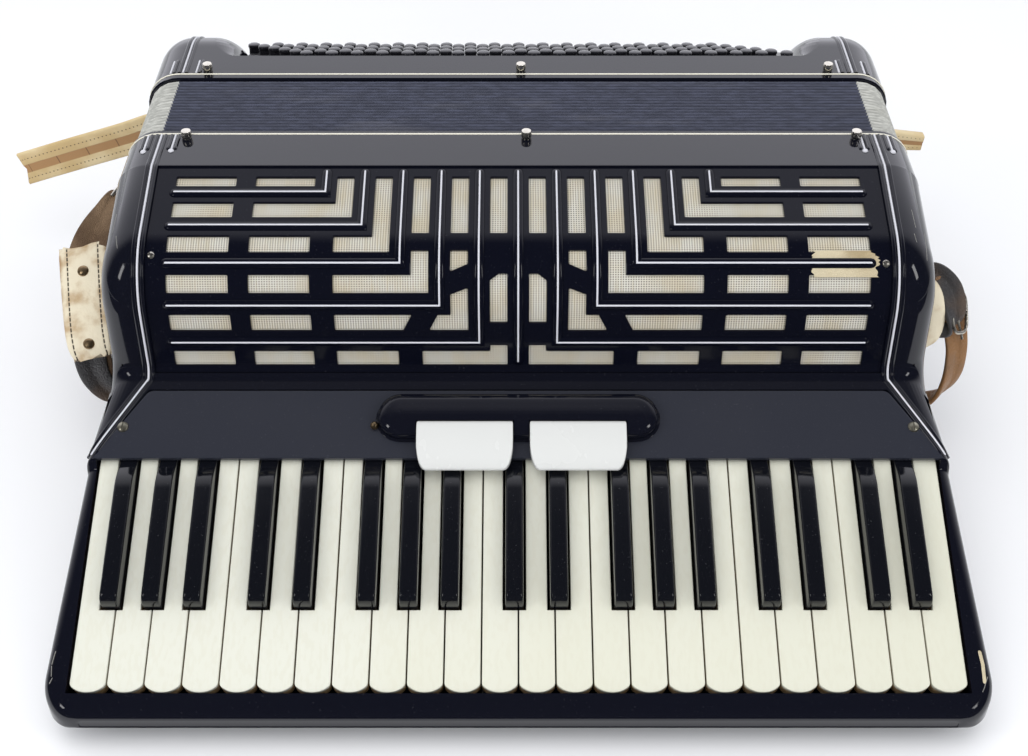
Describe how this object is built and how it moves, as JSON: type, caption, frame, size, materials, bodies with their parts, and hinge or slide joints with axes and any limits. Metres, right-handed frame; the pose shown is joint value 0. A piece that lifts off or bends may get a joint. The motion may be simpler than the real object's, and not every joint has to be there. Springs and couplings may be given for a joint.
{
  "type": "piano accordion",
  "caption": "Piano accordion with a pierced curved grille, sloping keyboard, closed bellows and a bass side with rows of round buttons.",
  "frame": {"origin": "on the flat back of the treble casing, on the middle line, 60 mm from the treble bellows joint", "axes": "+X along the keyboard towards the high notes, +Y from the keyboard through the bellows to the bass end, +Z out of the front"},
  "size_m": [0.6722, 0.4945, 0.195],
  "materials": {
    "gloss_black": "glossy black celluloid",
    "satin_black": "dark satin celluloid",
    "ivory": "polished ivory-coloured celluloid",
    "black_key": "polished black",
    "white_tab": "smooth white",
    "button_black": "polished black",
    "grille_cloth": "open woven cream cloth",
    "bellows_cloth": "dark navy bellows cloth",
    "cream_leather": "worn cream leather",
    "brown_leather": "worn brown leather",
    "steel": "bright steel",
    "wood": "planed softwood"
  },
  "bodies": {
    "treble": {"treble_casing": "gloss_black", "grille_cover": "gloss_black", "grille_cloth": "grille_cloth", "keyboard_bed": "gloss_black", "key_panel": "satin_black", "key_axle": "steel", "register_bar": "gloss_black", "treble_bellows_frame": "gloss_black", "bellows": "bellows_cloth", "left_shoulder_strap": "brown_leather", "right_shoulder_strap": "brown_leather", "treble_reed_block": "wood"},
    "bass": {"bass_bellows_frame": "gloss_black", "bass_casing": "gloss_black", "bass_button_board": "button_black", "bass_strap": "cream_leather"},
    "air_button_body": {"air_button": "button_black"},
    "register_left": {"register_tab_left": "white_tab"},
    "register_right": {"register_tab_right": "white_tab"},
    "white_01_lever": {"white_key_01": "ivory"},
    "white_02_lever": {"white_key_02": "ivory"},
    "white_03_lever": {"white_key_03": "ivory"},
    "white_04_lever": {"white_key_04": "ivory"},
    "white_05_lever": {"white_key_05": "ivory"},
    "white_06_lever": {"white_key_06": "ivory"},
    "white_07_lever": {"white_key_07": "ivory"},
    "white_08_lever": {"white_key_08": "ivory"},
    "white_09_lever": {"white_key_09": "ivory"},
    "white_10_lever": {"white_key_10": "ivory"},
    "white_11_lever": {"white_key_11": "ivory"},
    "white_12_lever": {"white_key_12": "ivory"},
    "white_13_lever": {"white_key_13": "ivory"},
    "white_14_lever": {"white_key_14": "ivory"},
    "white_15_lever": {"white_key_15": "ivory"},
    "white_16_lever": {"white_key_16": "ivory"},
    "white_17_lever": {"white_key_17": "ivory"},
    "white_18_lever": {"white_key_18": "ivory"},
    "white_19_lever": {"white_key_19": "ivory"},
    "white_20_lever": {"white_key_20": "ivory"},
    "white_21_lever": {"white_key_21": "ivory"},
    "white_22_lever": {"white_key_22": "ivory"},
    "white_23_lever": {"white_key_23": "ivory"},
    "white_24_lever": {"white_key_24": "ivory"},
    "black_01_lever": {"black_key_01": "black_key"},
    "black_02_lever": {"black_key_02": "black_key"},
    "black_03_lever": {"black_key_03": "black_key"},
    "black_04_lever": {"black_key_04": "black_key"},
    "black_05_lever": {"black_key_05": "black_key"},
    "black_06_lever": {"black_key_06": "black_key"},
    "black_07_lever": {"black_key_07": "black_key"},
    "black_08_lever": {"black_key_08": "black_key"},
    "black_09_lever": {"black_key_09": "black_key"},
    "black_10_lever": {"black_key_10": "black_key"},
    "black_11_lever": {"black_key_11": "black_key"},
    "black_12_lever": {"black_key_12": "black_key"},
    "black_13_lever": {"black_key_13": "black_key"},
    "black_14_lever": {"black_key_14": "black_key"},
    "black_15_lever": {"black_key_15": "black_key"},
    "black_16_lever": {"black_key_16": "black_key"},
    "black_17_lever": {"black_key_17": "black_key"}
  },
  "joints": [
    {"name": "bellows", "type": "slide", "parent": "treble", "child": "bass", "axis": [0, 1, 0], "range_m": [0, 0.3], "deforming": ["bellows"]},
    {"name": "air_button_push", "type": "slide", "parent": "bass", "child": "air_button_body", "axis": [0, -1, 0], "range_m": [0, 0.004], "stiffness_N_per_m": 250, "springref_m": -0.008},
    {"name": "register_left_press", "type": "hinge", "parent": "treble", "child": "register_left", "pos_m": [-0.0302, -0.0962, 0.09879], "axis": [1, 0, 0], "range_deg": [0, 4], "stiffness_Nm_per_rad": 0.1, "springref_deg": -11.46},
    {"name": "register_right_press", "type": "hinge", "parent": "treble", "child": "register_right", "pos_m": [0.0338, -0.0962, 0.09879], "axis": [1, 0, 0], "range_deg": [0, 4], "stiffness_Nm_per_rad": 0.1, "springref_deg": -11.46},
    {"name": "white_key_01_press", "type": "hinge", "parent": "treble", "child": "white_01_lever", "pos_m": [0, -0.07807, 0.08551], "axis": [1, 0, 0], "range_deg": [0, 1.8], "stiffness_Nm_per_rad": 0.6, "springref_deg": -8.59},
    {"name": "white_key_02_press", "type": "hinge", "parent": "treble", "child": "white_02_lever", "pos_m": [0, -0.07807, 0.08551], "axis": [1, 0, 0], "range_deg": [0, 1.8], "stiffness_Nm_per_rad": 0.6, "springref_deg": -8.59},
    {"name": "white_key_03_press", "type": "hinge", "parent": "treble", "child": "white_03_lever", "pos_m": [0, -0.07807, 0.08551], "axis": [1, 0, 0], "range_deg": [0, 1.8], "stiffness_Nm_per_rad": 0.6, "springref_deg": -8.59},
    {"name": "white_key_04_press", "type": "hinge", "parent": "treble", "child": "white_04_lever", "pos_m": [0, -0.07807, 0.08551], "axis": [1, 0, 0], "range_deg": [0, 1.8], "stiffness_Nm_per_rad": 0.6, "springref_deg": -8.59},
    {"name": "white_key_05_press", "type": "hinge", "parent": "treble", "child": "white_05_lever", "pos_m": [0, -0.07807, 0.08551], "axis": [1, 0, 0], "range_deg": [0, 1.8], "stiffness_Nm_per_rad": 0.6, "springref_deg": -8.59},
    {"name": "white_key_06_press", "type": "hinge", "parent": "treble", "child": "white_06_lever", "pos_m": [0, -0.07807, 0.08551], "axis": [1, 0, 0], "range_deg": [0, 1.8], "stiffness_Nm_per_rad": 0.6, "springref_deg": -8.59},
    {"name": "white_key_07_press", "type": "hinge", "parent": "treble", "child": "white_07_lever", "pos_m": [0, -0.07807, 0.08551], "axis": [1, 0, 0], "range_deg": [0, 1.8], "stiffness_Nm_per_rad": 0.6, "springref_deg": -8.59},
    {"name": "white_key_08_press", "type": "hinge", "parent": "treble", "child": "white_08_lever", "pos_m": [0, -0.07807, 0.08551], "axis": [1, 0, 0], "range_deg": [0, 1.8], "stiffness_Nm_per_rad": 0.6, "springref_deg": -8.59},
    {"name": "white_key_09_press", "type": "hinge", "parent": "treble", "child": "white_09_lever", "pos_m": [0, -0.07807, 0.08551], "axis": [1, 0, 0], "range_deg": [0, 1.8], "stiffness_Nm_per_rad": 0.6, "springref_deg": -8.59},
    {"name": "white_key_10_press", "type": "hinge", "parent": "treble", "child": "white_10_lever", "pos_m": [0, -0.07807, 0.08551], "axis": [1, 0, 0], "range_deg": [0, 1.8], "stiffness_Nm_per_rad": 0.6, "springref_deg": -8.59},
    {"name": "white_key_11_press", "type": "hinge", "parent": "treble", "child": "white_11_lever", "pos_m": [0, -0.07807, 0.08551], "axis": [1, 0, 0], "range_deg": [0, 1.8], "stiffness_Nm_per_rad": 0.6, "springref_deg": -8.59},
    {"name": "white_key_12_press", "type": "hinge", "parent": "treble", "child": "white_12_lever", "pos_m": [0, -0.07807, 0.08551], "axis": [1, 0, 0], "range_deg": [0, 1.8], "stiffness_Nm_per_rad": 0.6, "springref_deg": -8.59},
    {"name": "white_key_13_press", "type": "hinge", "parent": "treble", "child": "white_13_lever", "pos_m": [0, -0.07807, 0.08551], "axis": [1, 0, 0], "range_deg": [0, 1.8], "stiffness_Nm_per_rad": 0.6, "springref_deg": -8.59},
    {"name": "white_key_14_press", "type": "hinge", "parent": "treble", "child": "white_14_lever", "pos_m": [0, -0.07807, 0.08551], "axis": [1, 0, 0], "range_deg": [0, 1.8], "stiffness_Nm_per_rad": 0.6, "springref_deg": -8.59},
    {"name": "white_key_15_press", "type": "hinge", "parent": "treble", "child": "white_15_lever", "pos_m": [0, -0.07807, 0.08551], "axis": [1, 0, 0], "range_deg": [0, 1.8], "stiffness_Nm_per_rad": 0.6, "springref_deg": -8.59},
    {"name": "white_key_16_press", "type": "hinge", "parent": "treble", "child": "white_16_lever", "pos_m": [0, -0.07807, 0.08551], "axis": [1, 0, 0], "range_deg": [0, 1.8], "stiffness_Nm_per_rad": 0.6, "springref_deg": -8.59},
    {"name": "white_key_17_press", "type": "hinge", "parent": "treble", "child": "white_17_lever", "pos_m": [0, -0.07807, 0.08551], "axis": [1, 0, 0], "range_deg": [0, 1.8], "stiffness_Nm_per_rad": 0.6, "springref_deg": -8.59},
    {"name": "white_key_18_press", "type": "hinge", "parent": "treble", "child": "white_18_lever", "pos_m": [0, -0.07807, 0.08551], "axis": [1, 0, 0], "range_deg": [0, 1.8], "stiffness_Nm_per_rad": 0.6, "springref_deg": -8.59},
    {"name": "white_key_19_press", "type": "hinge", "parent": "treble", "child": "white_19_lever", "pos_m": [0, -0.07807, 0.08551], "axis": [1, 0, 0], "range_deg": [0, 1.8], "stiffness_Nm_per_rad": 0.6, "springref_deg": -8.59},
    {"name": "white_key_20_press", "type": "hinge", "parent": "treble", "child": "white_20_lever", "pos_m": [0, -0.07807, 0.08551], "axis": [1, 0, 0], "range_deg": [0, 1.8], "stiffness_Nm_per_rad": 0.6, "springref_deg": -8.59},
    {"name": "white_key_21_press", "type": "hinge", "parent": "treble", "child": "white_21_lever", "pos_m": [0, -0.07807, 0.08551], "axis": [1, 0, 0], "range_deg": [0, 1.8], "stiffness_Nm_per_rad": 0.6, "springref_deg": -8.59},
    {"name": "white_key_22_press", "type": "hinge", "parent": "treble", "child": "white_22_lever", "pos_m": [0, -0.07807, 0.08551], "axis": [1, 0, 0], "range_deg": [0, 1.8], "stiffness_Nm_per_rad": 0.6, "springref_deg": -8.59},
    {"name": "white_key_23_press", "type": "hinge", "parent": "treble", "child": "white_23_lever", "pos_m": [0, -0.07807, 0.08551], "axis": [1, 0, 0], "range_deg": [0, 1.8], "stiffness_Nm_per_rad": 0.6, "springref_deg": -8.59},
    {"name": "white_key_24_press", "type": "hinge", "parent": "treble", "child": "white_24_lever", "pos_m": [0, -0.07807, 0.08551], "axis": [1, 0, 0], "range_deg": [0, 1.8], "stiffness_Nm_per_rad": 0.6, "springref_deg": -8.59},
    {"name": "black_key_01_press", "type": "hinge", "parent": "treble", "child": "black_01_lever", "pos_m": [0, -0.07807, 0.08551], "axis": [1, 0, 0], "range_deg": [0, 1.8], "stiffness_Nm_per_rad": 0.6, "springref_deg": -8.59},
    {"name": "black_key_02_press", "type": "hinge", "parent": "treble", "child": "black_02_lever", "pos_m": [0, -0.07807, 0.08551], "axis": [1, 0, 0], "range_deg": [0, 1.8], "stiffness_Nm_per_rad": 0.6, "springref_deg": -8.59},
    {"name": "black_key_03_press", "type": "hinge", "parent": "treble", "child": "black_03_lever", "pos_m": [0, -0.07807, 0.08551], "axis": [1, 0, 0], "range_deg": [0, 1.8], "stiffness_Nm_per_rad": 0.6, "springref_deg": -8.59},
    {"name": "black_key_04_press", "type": "hinge", "parent": "treble", "child": "black_04_lever", "pos_m": [0, -0.07807, 0.08551], "axis": [1, 0, 0], "range_deg": [0, 1.8], "stiffness_Nm_per_rad": 0.6, "springref_deg": -8.59},
    {"name": "black_key_05_press", "type": "hinge", "parent": "treble", "child": "black_05_lever", "pos_m": [0, -0.07807, 0.08551], "axis": [1, 0, 0], "range_deg": [0, 1.8], "stiffness_Nm_per_rad": 0.6, "springref_deg": -8.59},
    {"name": "black_key_06_press", "type": "hinge", "parent": "treble", "child": "black_06_lever", "pos_m": [0, -0.07807, 0.08551], "axis": [1, 0, 0], "range_deg": [0, 1.8], "stiffness_Nm_per_rad": 0.6, "springref_deg": -8.59},
    {"name": "black_key_07_press", "type": "hinge", "parent": "treble", "child": "black_07_lever", "pos_m": [0, -0.07807, 0.08551], "axis": [1, 0, 0], "range_deg": [0, 1.8], "stiffness_Nm_per_rad": 0.6, "springref_deg": -8.59},
    {"name": "black_key_08_press", "type": "hinge", "parent": "treble", "child": "black_08_lever", "pos_m": [0, -0.07807, 0.08551], "axis": [1, 0, 0], "range_deg": [0, 1.8], "stiffness_Nm_per_rad": 0.6, "springref_deg": -8.59},
    {"name": "black_key_09_press", "type": "hinge", "parent": "treble", "child": "black_09_lever", "pos_m": [0, -0.07807, 0.08551], "axis": [1, 0, 0], "range_deg": [0, 1.8], "stiffness_Nm_per_rad": 0.6, "springref_deg": -8.59},
    {"name": "black_key_10_press", "type": "hinge", "parent": "treble", "child": "black_10_lever", "pos_m": [0, -0.07807, 0.08551], "axis": [1, 0, 0], "range_deg": [0, 1.8], "stiffness_Nm_per_rad": 0.6, "springref_deg": -8.59},
    {"name": "black_key_11_press", "type": "hinge", "parent": "treble", "child": "black_11_lever", "pos_m": [0, -0.07807, 0.08551], "axis": [1, 0, 0], "range_deg": [0, 1.8], "stiffness_Nm_per_rad": 0.6, "springref_deg": -8.59},
    {"name": "black_key_12_press", "type": "hinge", "parent": "treble", "child": "black_12_lever", "pos_m": [0, -0.07807, 0.08551], "axis": [1, 0, 0], "range_deg": [0, 1.8], "stiffness_Nm_per_rad": 0.6, "springref_deg": -8.59},
    {"name": "black_key_13_press", "type": "hinge", "parent": "treble", "child": "black_13_lever", "pos_m": [0, -0.07807, 0.08551], "axis": [1, 0, 0], "range_deg": [0, 1.8], "stiffness_Nm_per_rad": 0.6, "springref_deg": -8.59},
    {"name": "black_key_14_press", "type": "hinge", "parent": "treble", "child": "black_14_lever", "pos_m": [0, -0.07807, 0.08551], "axis": [1, 0, 0], "range_deg": [0, 1.8], "stiffness_Nm_per_rad": 0.6, "springref_deg": -8.59},
    {"name": "black_key_15_press", "type": "hinge", "parent": "treble", "child": "black_15_lever", "pos_m": [0, -0.07807, 0.08551], "axis": [1, 0, 0], "range_deg": [0, 1.8], "stiffness_Nm_per_rad": 0.6, "springref_deg": -8.59},
    {"name": "black_key_16_press", "type": "hinge", "parent": "treble", "child": "black_16_lever", "pos_m": [0, -0.07807, 0.08551], "axis": [1, 0, 0], "range_deg": [0, 1.8], "stiffness_Nm_per_rad": 0.6, "springref_deg": -8.59},
    {"name": "black_key_17_press", "type": "hinge", "parent": "treble", "child": "black_17_lever", "pos_m": [0, -0.07807, 0.08551], "axis": [1, 0, 0], "range_deg": [0, 1.8], "stiffness_Nm_per_rad": 0.6, "springref_deg": -8.59}
  ]
}
